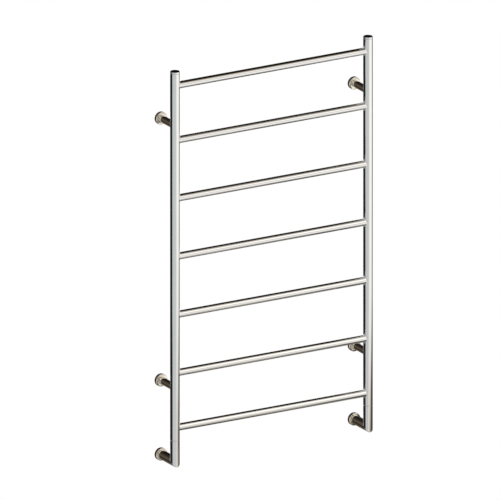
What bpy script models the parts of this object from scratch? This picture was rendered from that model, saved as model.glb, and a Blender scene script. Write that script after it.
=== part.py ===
"""Wall-mounted ladder towel warmer: two round posts, seven rungs, four wall arms and two mitred elbows.

Metres, +Z up. X runs across the rack and the wall is the plane y = 0, with the rack in front of it at -Y.
The origin lies on the wall, midway between the two elbow legs, at the height of their axes.
Every tube, cover, boss, screw and electrical piece is an object of its own.
"""

import math

import bmesh
import bpy
from mathutils import Matrix, Vector

# Driving dimensions
POST_SPACING = 0.580
POST_DIAMETER = 0.025
POST_WALL = 0.0015
RUNG_DIAMETER = 0.019
RUNG_WALL = 0.0012
ARM_WALL = 0.0015
WALL_DISTANCE = 0.077  # from the wall to the axes of posts and rungs
LEG_TO_LOWEST_RUNG = 0.093
END_PITCH = 0.150  # the first and the last gap
INNER_PITCH = 0.1595  # the four gaps between them
TOP_RUNG_TO_CAP = 0.039
CAP_BAND = 0.0047
SEAM_HEIGHT = 0.060  # the joint between post and elbow, above the leg's axis
ARM_OFFSET = 0.040  # arms sit this far above rung 2 and below rung 6

GAP = 0.0003  # between pieces that touch or fit
ROUND = 24  # sides of tubes, covers and bosses
SMALL_ROUND = 12  # sides of screws and small holes

POST_RADIUS = POST_DIAMETER / 2
POST_BORE = POST_RADIUS - POST_WALL
RUNG_RADIUS = RUNG_DIAMETER / 2
RUNG_BORE = RUNG_RADIUS - RUNG_WALL
ARM_BORE = RUNG_RADIUS - ARM_WALL
POST_X = POST_SPACING / 2
POST_Y = -WALL_DISTANCE
SIDES = {"left": -POST_X, "right": POST_X}

# Wall bosses, their covers and grub screws
FLANGE = 0.003
SPIGOT_LENGTH = 0.022
ARM_SPIGOT = 0.0077
LEG_SPIGOT = POST_BORE - GAP
LEG_SPIGOT_BORE = 0.0087
FLANGE_RADIUS = 0.0146
COVER_RADIUS = 0.0170
COVER_FACE = 0.0094  # the cover's front, from the wall
GROOVE_START = 0.0055
GROOVE_END = 0.0075
GROOVE_DEPTH = 0.0015
GRUB_RADIUS = 0.0020
GRUB_HOLE = 0.0023
GRUB_FROM_WALL = 0.0133
ARM_GRUB_LENGTH = 0.0034
LEG_GRUB_LENGTH = 0.0027
ARM_DIMPLE_CUT = 0.0032  # lengths of the cutters that start 1 mm outside a spigot or sleeve
LEG_DIMPLE_CUT = 0.0023
WALL_CUT = 0.004  # and of those that go through a tube's wall

# Coupler sleeve and electrical pieces
COUPLER_LOW = SEAM_HEIGHT - 0.020
COUPLER_HIGH = SEAM_HEIGHT + 0.020
COUPLER_GRUB_HEIGHT = 0.050
CABLE_RADIUS = 0.0021
CABLE_BEND = 0.012
LEAD_RADIUS = 0.0010
LEAD_OFFSET = 0.0030
SPLICE_LOW = 0.046
SPLICE_HIGH = 0.068
CUTOUT_LOW = 0.018
CUTOUT_HIGH = 0.034
BLOCK_NEAR = 0.026  # distances from the wall
BLOCK_FAR = 0.046
POLE_PITCH = 0.0038
TAG_LOW = 0.0263
TAG_HIGH = 0.0500
TAG_OUT = 0.0079  # the tag's outer face, in front of the post's axis
TAG_THICKNESS = 0.0008
EARTH_SCREW_HEIGHT = 0.046
EARTH_HOLE = 0.0016
INLET_DROP = 0.0040  # the cable hole lies below the leg's axis
INLET_RADIUS = 0.0040
WALL_SCREW_RISE = 0.0047
WALL_SCREW_HOLE = 0.0026


def rung_heights():
    """Heights of the rung axes, the top rung first."""
    heights = [LEG_TO_LOWEST_RUNG]
    for pitch in (END_PITCH, INNER_PITCH, INNER_PITCH, INNER_PITCH, INNER_PITCH, END_PITCH):
        heights.append(heights[-1] + pitch)
    return heights[::-1]


RUNGS = rung_heights()
TOP = RUNGS[0] + TOP_RUNG_TO_CAP
ARM_HEIGHTS = {"upper": RUNGS[1] + ARM_OFFSET, "lower": RUNGS[5] - ARM_OFFSET}


# Scene, materials and objects


def clear_scene():
    for item in list(bpy.data.objects):
        bpy.data.objects.remove(item)


def make_material(name, colour, roughness, metallic):
    made = bpy.data.materials.new(name)
    made.use_nodes = True
    made.diffuse_color = (*colour, 1)
    shader = made.node_tree.nodes["Principled BSDF"]
    shader.inputs["Base Color"].default_value = (*colour, 1)
    shader.inputs["Roughness"].default_value = roughness
    shader.inputs["Metallic"].default_value = metallic
    return made


MATERIALS = {
    "polished_steel": make_material("polished_steel", (0.72, 0.71, 0.69), 0.10, 1.0),
    "turned_steel": make_material("turned_steel", (0.56, 0.56, 0.55), 0.30, 1.0),
    "screw_steel": make_material("screw_steel", (0.30, 0.30, 0.31), 0.35, 1.0),
    "black_rubber": make_material("black_rubber", (0.03, 0.03, 0.03), 0.70, 0.0),
    "heating_silicone": make_material("heating_silicone", (0.45, 0.06, 0.04), 0.45, 0.0),
    "brown_insulation": make_material("brown_insulation", (0.16, 0.07, 0.03), 0.45, 0.0),
    "blue_insulation": make_material("blue_insulation", (0.03, 0.12, 0.45), 0.45, 0.0),
    "green_insulation": make_material("green_insulation", (0.08, 0.42, 0.08), 0.45, 0.0),
    "white_nylon": make_material("white_nylon", (0.80, 0.79, 0.75), 0.40, 0.0),
    "black_sleeve": make_material("black_sleeve", (0.04, 0.04, 0.04), 0.50, 0.0),
    "cutout_case": make_material("cutout_case", (0.62, 0.60, 0.55), 0.35, 1.0),
    "tinned_brass": make_material("tinned_brass", (0.75, 0.62, 0.35), 0.30, 1.0),
}


def add_object(name, data, material, matrix=None):
    """A new object in the scene; mesh data is shaded smooth with its hard edges kept sharp."""
    if isinstance(data, bpy.types.Mesh):
        data.shade_smooth()
        data.set_sharp_from_angle(angle=math.radians(35))
    if not data.materials:
        data.materials.append(MATERIALS[material])
    made = bpy.data.objects.new(name, data)
    if matrix is not None:
        made.matrix_world = matrix
    bpy.context.scene.collection.objects.link(made)
    return made


def finish_mesh(name, shape):
    """Bmesh to mesh, with points on the axis merged and the faces turned outwards."""
    bmesh.ops.remove_doubles(shape, verts=shape.verts, dist=1e-7)
    bmesh.ops.recalc_face_normals(shape, faces=shape.faces)
    data = bpy.data.meshes.new(name)
    shape.to_mesh(data)
    shape.free()
    return data


def facing(direction, place=(0, 0, 0)):
    """A matrix that turns local +Z to the direction and then moves to the place."""
    turn = Vector((0, 0, 1)).rotation_difference(Vector(direction)).to_matrix().to_4x4()
    return Matrix.Translation(place) @ turn


# From the wall outwards: local +Z becomes -Y, local Y becomes Z, and X stays.
OFF_WALL = Matrix.Rotation(math.radians(90), 4, "X")


def off_wall(x, z):
    """Places a turned shape with its base on the wall and its axis straight out of it."""
    return Matrix.Translation((x, 0, z)) @ OFF_WALL


def turned_mesh(name, profile, sides=ROUND):
    """A closed profile of (radius, height) points, turned about the local Z axis."""
    shape = bmesh.new()
    points = [shape.verts.new((radius, 0, height)) for radius, height in profile]
    edges = [shape.edges.new(pair) for pair in zip(points, points[1:] + points[:1])]
    bmesh.ops.spin(
        shape, geom=points + edges, cent=(0, 0, 0), axis=(0, 0, 1), angle=2 * math.pi,
        steps=sides, use_merge=True,
    )
    on_axis = [face for face in shape.faces if all(v.co.xy.length < 1e-9 for v in face.verts)]
    bmesh.ops.delete(shape, geom=on_axis, context="FACES")
    return finish_mesh(name, shape)


def tube_mesh(name, outer, inner, low, high):
    return turned_mesh(name, [(outer, low), (outer, high), (inner, high), (inner, low)])


def cylinder_mesh(name, radius, low, high, sides=ROUND):
    return turned_mesh(name, [(0, low), (radius, low), (radius, high), (0, high)], sides)


def add_cutter(name, data, matrix=None):
    made = add_object(name, data, "black_rubber", matrix)
    made.hide_render = True
    made.display_type = "WIRE"
    return made


def cut(target, *cutters):
    for cutter in cutters:
        step = target.modifiers.new(cutter.name, "BOOLEAN")
        step.operation = "DIFFERENCE"
        step.solver = "EXACT"
        step.object = cutter


# The welded frame: posts, caps, rungs, arms and elbows


def post_clearance(side):
    """What the coped ends of rungs and arms leave free around a post."""
    data = cylinder_mesh("post_clearance", POST_RADIUS + GAP, -0.05, TOP + 0.05)
    return add_cutter(f"{side}_post_clearance", data, Matrix.Translation((SIDES[side], POST_Y, 0)))


def rung_bore_cutters():
    """The holes through which the rungs open into both posts."""
    data = cylinder_mesh("rung_bore", RUNG_BORE, -POST_X, POST_X, 20)
    return [
        add_cutter(f"rung_bore_{number}", data, facing((1, 0, 0), (0, POST_Y, height)))
        for number, height in enumerate(RUNGS, 1)
    ]


def add_posts(bores):
    low = SEAM_HEIGHT + GAP / 2
    high = TOP - CAP_BAND - GAP
    for side, x in SIDES.items():
        data = tube_mesh(f"{side}_post", POST_RADIUS, POST_BORE, low, high)
        post = add_object(f"{side}_post", data, "polished_steel", Matrix.Translation((x, POST_Y, 0)))
        cut(post, *bores)


def add_caps():
    """A flat cap with a shallow chamfer and a hollow spigot that plugs into the post."""
    base = TOP - CAP_BAND
    spigot_end = base - 0.010
    profile = [
        (0, TOP), (POST_RADIUS - 0.0006, TOP), (POST_RADIUS, TOP - 0.0006), (POST_RADIUS, base),
        (LEG_SPIGOT, base), (LEG_SPIGOT, spigot_end), (LEG_SPIGOT_BORE, spigot_end),
        (LEG_SPIGOT_BORE, base), (0, base),
    ]
    data = turned_mesh("top_cap", profile)
    for side, x in SIDES.items():
        add_object(f"{side}_top_cap", data, "polished_steel", Matrix.Translation((x, POST_Y, 0)))


def add_rungs(clearances):
    data = tube_mesh("rung", RUNG_RADIUS, RUNG_BORE, -POST_X, POST_X)
    for number, height in enumerate(RUNGS, 1):
        place = facing((1, 0, 0), (0, POST_Y, height))
        cut(add_object(f"rung_{number}", data, "polished_steel", place), *clearances.values())


def grub_hole(name, place, direction, length):
    data = cylinder_mesh(name, GRUB_HOLE, 0, length, SMALL_ROUND)
    return add_cutter(name, data, facing(direction, place))


def add_arms(clearances):
    data = tube_mesh("arm", RUNG_RADIUS, ARM_BORE, FLANGE + GAP, WALL_DISTANCE)
    for side, x in SIDES.items():
        for level, height in ARM_HEIGHTS.items():
            name = f"{side}_{level}_arm"
            arm = add_object(name, data, "polished_steel", off_wall(x, height))
            under = (x, -GRUB_FROM_WALL, height - RUNG_RADIUS - 0.001)
            cut(arm, clearances[side], grub_hole(f"{name}_grub_hole", under, (0, 0, 1), WALL_CUT))


def mitred_tube_mesh(name, far_end, shift):
    """A post-sized tube whose near end is sheared onto the mitre's 45 degree plane through the corner.

    Local Z is the tube's axis, and local Y points to the inner side of the corner.
    """
    data = tube_mesh(name, POST_RADIUS, POST_BORE, 0, far_end)
    for point in data.vertices:
        if point.co.z < far_end / 2:
            point.co.z = point.co.y + shift
    return data


def add_elbows():
    """Each elbow is a riser, which takes the post's coupler, and a leg to the wall, joined on a mitre."""
    shift = GAP / math.sqrt(2)
    riser = mitred_tube_mesh("elbow_riser", SEAM_HEIGHT - GAP / 2, shift)
    leg = mitred_tube_mesh("elbow_leg", WALL_DISTANCE - FLANGE - GAP, shift)
    towards_wall = Matrix.Rotation(math.radians(-90), 4, "X") @ Matrix.Rotation(math.radians(180), 4, "Z")
    for side, x in SIDES.items():
        corner = Matrix.Translation((x, POST_Y, 0))
        riser_object = add_object(f"{side}_riser", riser, "polished_steel", corner)
        behind = (x, POST_Y + POST_RADIUS + 0.001, COUPLER_GRUB_HEIGHT)
        cut(riser_object, grub_hole(f"{side}_riser_grub_hole", behind, (0, -1, 0), WALL_CUT))
        leg_object = add_object(f"{side}_leg", leg, "polished_steel", corner @ towards_wall)
        under = (x, -GRUB_FROM_WALL, -POST_RADIUS - 0.001)
        cut(leg_object, grub_hole(f"{side}_leg_grub_hole", under, (0, 0, 1), WALL_CUT))


def add_couplers():
    """The sleeve across each seam has a dimple for its grub screw.

    The right one also has the hole of the earth screw.
    """
    data = tube_mesh("coupler", LEG_SPIGOT, LEG_SPIGOT_BORE, COUPLER_LOW, COUPLER_HIGH)
    for side, x in SIDES.items():
        coupler = add_object(f"{side}_coupler", data, "turned_steel", Matrix.Translation((x, POST_Y, 0)))
        behind = (x, POST_Y + LEG_SPIGOT + 0.001, COUPLER_GRUB_HEIGHT)
        cut(coupler, grub_hole(f"{side}_coupler_dimple", behind, (0, -1, 0), LEG_DIMPLE_CUT))
        if side == "right":
            hole = cylinder_mesh("earth_hole", EARTH_HOLE, 0, POST_RADIUS, SMALL_ROUND)
            place = facing((0, -1, 0), (x, POST_Y, EARTH_SCREW_HEIGHT))
            cut(coupler, add_cutter("earth_hole", hole, place))


# Wall bosses, covers and grub screws


def arm_boss_mesh():
    """Flange and spigot in one turned piece, bored and counterbored for one wall screw."""
    bore, counterbore, counterbore_floor = 0.00275, 0.0052, 0.014
    edge = 0.0006
    return turned_mesh("arm_boss", [
        (bore, 0), (FLANGE_RADIUS, 0), (FLANGE_RADIUS, FLANGE - edge),
        (FLANGE_RADIUS - edge, FLANGE), (ARM_SPIGOT, FLANGE), (ARM_SPIGOT, SPIGOT_LENGTH - edge),
        (ARM_SPIGOT - edge, SPIGOT_LENGTH), (counterbore, SPIGOT_LENGTH),
        (counterbore, counterbore_floor), (bore, counterbore_floor),
    ])


def leg_boss_mesh():
    """A cup: the flange's disc, and a thin spigot that leaves room for the wiring."""
    edge = 0.0006
    return turned_mesh("leg_boss", [
        (0, 0), (FLANGE_RADIUS, 0), (FLANGE_RADIUS, FLANGE - edge),
        (FLANGE_RADIUS - edge, FLANGE), (LEG_SPIGOT, FLANGE), (LEG_SPIGOT, SPIGOT_LENGTH - edge),
        (LEG_SPIGOT - edge, SPIGOT_LENGTH), (LEG_SPIGOT_BORE, SPIGOT_LENGTH),
        (LEG_SPIGOT_BORE, FLANGE), (0, FLANGE),
    ])


def cover_mesh(name, tube_radius):
    """A thick hollow-backed disc with a softened front edge and a groove in its bore for the ring."""
    bore = tube_radius + GAP
    groove = bore + GROOVE_DEPTH
    recess = FLANGE_RADIUS + 0.0004
    recess_floor = FLANGE + 0.0006
    edge, bore_edge = 0.0008, 0.0004
    return turned_mesh(name, [
        (COVER_RADIUS, GAP), (COVER_RADIUS, COVER_FACE - edge), (COVER_RADIUS - edge, COVER_FACE),
        (bore + bore_edge, COVER_FACE), (bore, COVER_FACE - bore_edge), (bore, GROOVE_END),
        (groove, GROOVE_END), (groove, GROOVE_START), (bore, GROOVE_START),
        (bore, recess_floor), (recess, recess_floor), (recess, GAP),
    ])


def cover_ring_mesh(name, tube_radius):
    """A rubber ring of oval section that lies in the cover's groove."""
    half_width, half_height, corners = 0.0006, 0.0007, 5
    middle_radius = tube_radius + GAP + half_width
    middle_height = (GROOVE_START + GROOVE_END) / 2
    turns = [2 * math.pi * (corner + 0.5) / corners for corner in range(corners)]
    return turned_mesh(name, [
        (middle_radius + half_width * math.cos(turn), middle_height + half_height * math.sin(turn))
        for turn in turns
    ])


def grub_mesh(name, length):
    """A grub screw: hexagon socket at its outer end, z = 0, and a short cone at its tip."""
    socket, socket_depth, cone = 0.0011, 0.0012, 0.0006
    shape = bmesh.new()

    def ring(radius, height, sides):
        turns = [2 * math.pi * side / sides for side in range(sides)]
        return [shape.verts.new((radius * math.cos(t), radius * math.sin(t), height)) for t in turns]

    rim = ring(GRUB_RADIUS, 0, SMALL_ROUND)
    mouth = ring(socket, 0, 6)
    floor = ring(socket, socket_depth, 6)
    waist = ring(GRUB_RADIUS, length - cone, SMALL_ROUND)
    tip = ring(GRUB_RADIUS - cone, length, SMALL_ROUND)
    for low, high in ((mouth, floor), (rim, waist), (waist, tip)):
        count = len(low)
        for side in range(count):
            after = (side + 1) % count
            shape.faces.new((low[side], low[after], high[after], high[side]))
    for side in range(6):
        outer = [rim[2 * side], rim[2 * side + 1], rim[(2 * side + 2) % SMALL_ROUND]]
        shape.faces.new(outer + [mouth[(side + 1) % 6], mouth[side]])
    shape.faces.new(floor)
    shape.faces.new(tip)
    return finish_mesh(name, shape)


def add_arm_fixings():
    boss_mesh = arm_boss_mesh()
    cover = cover_mesh("arm_cover", RUNG_RADIUS)
    ring = cover_ring_mesh("arm_cover_ring", RUNG_RADIUS)
    grub = grub_mesh("arm_grub", ARM_GRUB_LENGTH)
    for side, x in SIDES.items():
        for level, height in ARM_HEIGHTS.items():
            name = f"{side}_{level}"
            boss = add_object(f"{name}_boss", boss_mesh, "turned_steel", off_wall(x, height))
            under_spigot = (x, -GRUB_FROM_WALL, height - ARM_SPIGOT - 0.001)
            cut(boss, grub_hole(f"{name}_boss_dimple", under_spigot, (0, 0, 1), ARM_DIMPLE_CUT))
            add_object(f"{name}_cover", cover, "polished_steel", off_wall(x, height))
            add_object(f"{name}_cover_ring", ring, "black_rubber", off_wall(x, height))
            flush = (x, -GRUB_FROM_WALL, height - RUNG_RADIUS + 0.0002)
            add_object(f"{name}_grub", grub, "screw_steel", facing((0, 0, 1), flush))


def add_leg_fixings():
    boss_mesh = leg_boss_mesh()
    cover = cover_mesh("leg_cover", POST_RADIUS)
    ring = cover_ring_mesh("leg_cover_ring", POST_RADIUS)
    grub = grub_mesh("leg_grub", LEG_GRUB_LENGTH)
    inlet = cylinder_mesh("inlet_hole", INLET_RADIUS, -0.001, FLANGE + 0.001, 16)
    screw_hole = cylinder_mesh("wall_screw_hole", WALL_SCREW_HOLE, -0.001, FLANGE + 0.001, SMALL_ROUND)
    for side, x in SIDES.items():
        boss = add_object(f"{side}_leg_boss", boss_mesh, "turned_steel", off_wall(x, 0))
        under_spigot = (x, -GRUB_FROM_WALL, -LEG_SPIGOT - 0.001)
        cut(
            boss,
            grub_hole(f"{side}_leg_boss_dimple", under_spigot, (0, 0, 1), LEG_DIMPLE_CUT),
            add_cutter(f"{side}_inlet_hole", inlet, off_wall(x, -INLET_DROP)),
            add_cutter(f"{side}_wall_screw_hole", screw_hole, off_wall(x, WALL_SCREW_RISE)),
        )
        add_object(f"{side}_leg_cover", cover, "polished_steel", off_wall(x, 0))
        add_object(f"{side}_leg_cover_ring", ring, "black_rubber", off_wall(x, 0))
        flush = (x, -GRUB_FROM_WALL, -POST_RADIUS + 0.0002)
        add_object(f"{side}_leg_grub", grub, "screw_steel", facing((0, 0, 1), flush))
        behind = (x, POST_Y + POST_RADIUS - 0.0002, COUPLER_GRUB_HEIGHT)
        add_object(f"{side}_coupler_grub", grub, "screw_steel", facing((0, -1, 0), behind))


# Electrical pieces, all inside the tubes


def rounded_route(corners, radius, steps=3):
    """The points of a polyline whose inner corners are rounded by arcs of the given radius."""
    corners = [Vector(corner) for corner in corners]
    points = [corners[0]]
    for before, corner, after in zip(corners, corners[1:], corners[2:]):
        back = (before - corner).normalized()
        ahead = (after - corner).normalized()
        half_angle = back.angle(ahead) / 2
        reach = radius / math.tan(half_angle)
        middle = corner + (back + ahead).normalized() * (radius / math.sin(half_angle))
        start = corner + back * reach - middle
        sweep = math.pi - 2 * half_angle
        turn_axis = start.cross(corner + ahead * reach - middle).normalized()
        for step in range(steps + 1):
            points.append(middle + Matrix.Rotation(sweep * step / steps, 3, turn_axis) @ start)
    points.append(corners[-1])
    return points


def add_lead(name, points, radius, material):
    curve = bpy.data.curves.new(name, "CURVE")
    curve.dimensions = "3D"
    curve.bevel_depth = radius
    curve.bevel_resolution = 2
    curve.use_fill_caps = True
    spline = curve.splines.new("POLY")
    spline.points.add(len(points) - 1)
    for place, point in zip(spline.points, points):
        place.co = (*point, 1)
    add_object(name, curve, material)


CABLE_END = -POST_X + 0.028  # inside the left end of the top rung


def add_heating_cable():
    """One run that climbs from the right riser through all seven rungs and ends inside the top one."""
    corners = [(POST_X, POST_Y, SPLICE_HIGH + GAP)]
    for number, height in enumerate(reversed(RUNGS)):
        start = POST_X if number % 2 == 0 else -POST_X
        corners += [(start, POST_Y, height), (-start, POST_Y, height)]
    corners[-1] = (CABLE_END, POST_Y, RUNGS[0])
    add_lead("heating_cable", rounded_route(corners, CABLE_BEND), CABLE_RADIUS, "heating_silicone")


def capsule_mesh(name, radius, low, high, edge):
    """A solid rod whose two ends are chamfered."""
    return turned_mesh(name, [
        (0, low), (radius - edge, low), (radius, low + edge),
        (radius, high - edge), (radius - edge, high), (0, high),
    ], 16)


def add_cable_fittings():
    cap = capsule_mesh("cable_end_cap", 0.0033, 0, 0.014, 0.0006)
    place = facing((-1, 0, 0), (CABLE_END - GAP, POST_Y, RUNGS[0]))
    add_object("cable_end_cap", cap, "black_sleeve", place)
    splice = capsule_mesh("splice_sleeve", 0.0042, SPLICE_LOW, SPLICE_HIGH, 0.0008)
    add_object("splice_sleeve", splice, "black_sleeve", Matrix.Translation((POST_X, POST_Y, 0)))


def add_cutout():
    """A thermal cut-out: a round can with one stiff tail up to the splice."""
    can, tail, edge = 0.0032, 0.0009, 0.0006
    data = turned_mesh("thermal_cutout", [
        (0, CUTOUT_LOW), (can - edge, CUTOUT_LOW), (can, CUTOUT_LOW + edge), (can, CUTOUT_HIGH - edge),
        (can - edge, CUTOUT_HIGH), (tail, CUTOUT_HIGH), (tail, SPLICE_LOW - GAP), (0, SPLICE_LOW - GAP),
    ], 16)
    place = Matrix.Translation((POST_X - LEAD_OFFSET, POST_Y + 0.001, 0))
    add_object("thermal_cutout", data, "cutout_case", place)


def add_leads():
    """Live, neutral and earth, from the terminal block round the elbow and up the riser."""
    out = -BLOCK_FAR - GAP
    routes = (
        ("live_lead", -1, 0.001, CUTOUT_LOW - GAP, 0.010, "brown_insulation"),
        ("neutral_lead", 1, 0.001, SPLICE_LOW - GAP, 0.010, "blue_insulation"),
        ("earth_lead", 0, -(TAG_OUT - TAG_THICKNESS / 2), TAG_LOW - GAP, 0.008, "green_insulation"),
    )
    for name, pole, y_offset, top, bend, material in routes:
        x = POST_X + pole * LEAD_OFFSET
        y = POST_Y + y_offset
        corners = [(POST_X + pole * POLE_PITCH, out, 0), (x, y, 0), (x, y, top)]
        add_lead(name, rounded_route(corners, bend, 5), LEAD_RADIUS, material)


def box_mesh(name, low, high):
    shape = bmesh.new()
    size = Vector(high) - Vector(low)
    middle = (Vector(high) + Vector(low)) / 2
    bmesh.ops.create_cube(shape, size=1, matrix=Matrix.Translation(middle) @ Matrix.Diagonal((*size, 1)))
    return finish_mesh(name, shape)


def add_terminal_block():
    """Three poles, each with a wire way from end to end and a well for its clamp screw."""
    half_width, half_height = 0.0065, 0.0055
    low = (POST_X - half_width, -BLOCK_FAR, -half_height)
    high = (POST_X + half_width, -BLOCK_NEAR, half_height)
    block = add_object("terminal_block", box_mesh("terminal_block", low, high), "white_nylon")
    way = cylinder_mesh("wire_way", 0.0013, BLOCK_NEAR - 0.002, BLOCK_FAR + 0.002, SMALL_ROUND)
    well = cylinder_mesh("screw_well", 0.0011, 0, half_height + 0.001, SMALL_ROUND)
    middle = -(BLOCK_NEAR + BLOCK_FAR) / 2
    for pole in (-1, 0, 1):
        x = POST_X + pole * POLE_PITCH
        cut(
            block,
            add_cutter(f"wire_way_{pole + 2}", way, off_wall(x, 0)),
            add_cutter(f"screw_well_{pole + 2}", well, Matrix.Translation((x, middle, 0))),
        )


def add_earth_bond():
    """The tag hangs inside the coupler, and its screw goes through both."""
    half_width = 0.0025
    inner_face = POST_Y - TAG_OUT + TAG_THICKNESS
    low = (POST_X - half_width, POST_Y - TAG_OUT, TAG_LOW)
    high = (POST_X + half_width, inner_face, TAG_HIGH)
    tag = add_object("earth_tag", box_mesh("earth_tag", low, high), "tinned_brass")
    hole = cylinder_mesh("tag_hole", EARTH_HOLE, 0, POST_RADIUS, SMALL_ROUND)
    cut(tag, add_cutter("tag_hole", hole, facing((0, -1, 0), (POST_X, POST_Y, EARTH_SCREW_HEIGHT))))
    head, shank, head_height = 0.0023, 0.00125, 0.0015
    shank_end = LEG_SPIGOT - GAP - (TAG_OUT - TAG_THICKNESS - GAP)
    screw = turned_mesh("earth_screw", [
        (0, -head_height), (head - 0.0004, -head_height), (head, 0.0004 - head_height), (head, 0),
        (shank, 0), (shank, shank_end), (0, shank_end),
    ], SMALL_ROUND)
    place = facing((0, -1, 0), (POST_X, inner_face + GAP, EARTH_SCREW_HEIGHT))
    add_object("earth_screw", screw, "screw_steel", place)


def add_inlet_fittings():
    """A grommet where the building's cable enters the right leg, and a plug in the unused left hole."""
    waist, lip, lip_end, bore = INLET_RADIUS - GAP, 0.0043, 0.0048, 0.0026
    outline = [(waist, GAP), (waist, FLANGE + GAP), (lip, FLANGE + GAP), (lip, lip_end)]
    grommet = turned_mesh("cable_grommet", [(bore, GAP), *outline, (bore, lip_end)], 16)
    plug = turned_mesh("blanking_plug", [(0, GAP), *outline, (0, lip_end)], 16)
    add_object("cable_grommet", grommet, "black_rubber", off_wall(POST_X, -INLET_DROP))
    add_object("blanking_plug", plug, "black_rubber", off_wall(-POST_X, -INLET_DROP))


def main():
    clear_scene()
    clearances = {side: post_clearance(side) for side in SIDES}
    add_posts(rung_bore_cutters())
    add_caps()
    add_rungs(clearances)
    add_arms(clearances)
    add_elbows()
    add_couplers()
    add_arm_fixings()
    add_leg_fixings()
    add_heating_cable()
    add_cable_fittings()
    add_cutout()
    add_leads()
    add_terminal_block()
    add_earth_bond()
    add_inlet_fittings()


main()
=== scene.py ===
import math

import bpy
from mathutils import Matrix, Vector
from mathutils.bvhtree import BVHTree
from mathutils.interpolate import poly_3d_calc


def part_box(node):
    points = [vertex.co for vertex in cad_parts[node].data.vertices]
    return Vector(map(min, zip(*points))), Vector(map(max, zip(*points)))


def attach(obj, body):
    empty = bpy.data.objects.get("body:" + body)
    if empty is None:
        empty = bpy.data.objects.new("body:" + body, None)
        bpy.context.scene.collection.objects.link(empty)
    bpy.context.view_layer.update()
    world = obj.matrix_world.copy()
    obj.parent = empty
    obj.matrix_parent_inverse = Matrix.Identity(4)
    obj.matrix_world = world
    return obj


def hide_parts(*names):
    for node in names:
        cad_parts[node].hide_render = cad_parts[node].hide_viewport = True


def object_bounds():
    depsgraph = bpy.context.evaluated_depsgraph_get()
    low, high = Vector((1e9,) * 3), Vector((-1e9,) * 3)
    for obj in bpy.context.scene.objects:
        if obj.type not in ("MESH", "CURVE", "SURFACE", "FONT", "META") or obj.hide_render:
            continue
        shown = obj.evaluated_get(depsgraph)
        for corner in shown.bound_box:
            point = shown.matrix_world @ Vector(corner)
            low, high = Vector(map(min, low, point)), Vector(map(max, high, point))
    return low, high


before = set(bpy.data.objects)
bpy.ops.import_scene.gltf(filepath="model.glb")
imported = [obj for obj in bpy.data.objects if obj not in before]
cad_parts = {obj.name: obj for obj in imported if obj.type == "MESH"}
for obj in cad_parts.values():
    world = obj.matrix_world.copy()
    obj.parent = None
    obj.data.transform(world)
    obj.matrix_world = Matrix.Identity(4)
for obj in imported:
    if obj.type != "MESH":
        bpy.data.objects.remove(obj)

CAD_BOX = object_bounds()

# Points round a tube
ROUND = 96

# Tests for points and normals: one place, on a surface (in metres), and facing the same way (a cosine)
SAME_PLACE = 1e-9
ON_SURFACE = 2e-6
SAME_WAY = 0.98

# The sizes below, in metres, are those that the frame's boxes don't give directly.

# Clearance between two parts, roundings of edges, and welds: a branch bites into its post's surface
GAP = 0.0003
FINE_EDGE = 0.0002
SMALL_EDGE = 0.0003
SEAM_EDGE = 0.0005
MITRE_EDGE = 0.0010
WELD_BITE = 0.0002
WELD_FILLET = 0.0030

# Walls of the tubes
TUBE_WALL = 0.0015
RUNG_WALL = 0.0012

# Bosses on the wall: flange, spigot and the holes' radii
FLANGE = 0.003
FLANGE_RADIUS = 0.0146
SPIGOT_END = 0.022
ARM_SPIGOT = 0.0077
CABLE_HOLE = 0.0040
WALL_SCREW_HOLE = 0.0026
WALL_SCREW_HEIGHT = 0.0047

# Grub screws, their clearance holes, and how far a drill starts before a surface or goes past it
GRUB_HOLE = 0.0023
ARM_GRUB_LENGTH = 0.0034
LEG_GRUB_LENGTH = 0.0027
DRILL_START = -0.001
DRILL_THROUGH = 0.004

# Covers: the ring's groove, from the wall, and how far the front is domed
GROOVE_START = 0.0055
GROOVE_END = 0.0075
ARM_COVER_DOME = 0.0012
LEG_COVER_DOME = 0.0008

X, Y, Z = Vector((1, 0, 0)), Vector((0, 1, 0)), Vector((0, 0, 1))


# Places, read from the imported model


def middle(node):
    low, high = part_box(node)
    return (low + high) / 2


LOWEST, HIGHEST = CAD_BOX
SIDES = ("left", "right")
POST_LOW, POST_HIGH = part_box("left_post")
POST_RADIUS = (POST_HIGH.x - POST_LOW.x) / 2
POST_AXES = {side: middle(f"{side}_post") * Vector((1, 1, 0)) for side in SIDES}
RUNG_RADIUS = (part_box("rung_1")[1].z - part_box("rung_1")[0].z) / 2
RUNG_HEIGHTS = {f"rung_{number}": middle(f"rung_{number}").z for number in range(1, 8)}
ARM_HEIGHTS = {level: middle(f"left_{level}_arm").z for level in ("upper", "lower")}
POST_BORE = POST_RADIUS - TUBE_WALL
COVER_RADIUS = (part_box("left_leg_cover")[1].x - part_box("left_leg_cover")[0].x) / 2
COVER_FACE = -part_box("left_leg_cover")[0].y


# Node graphs


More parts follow.
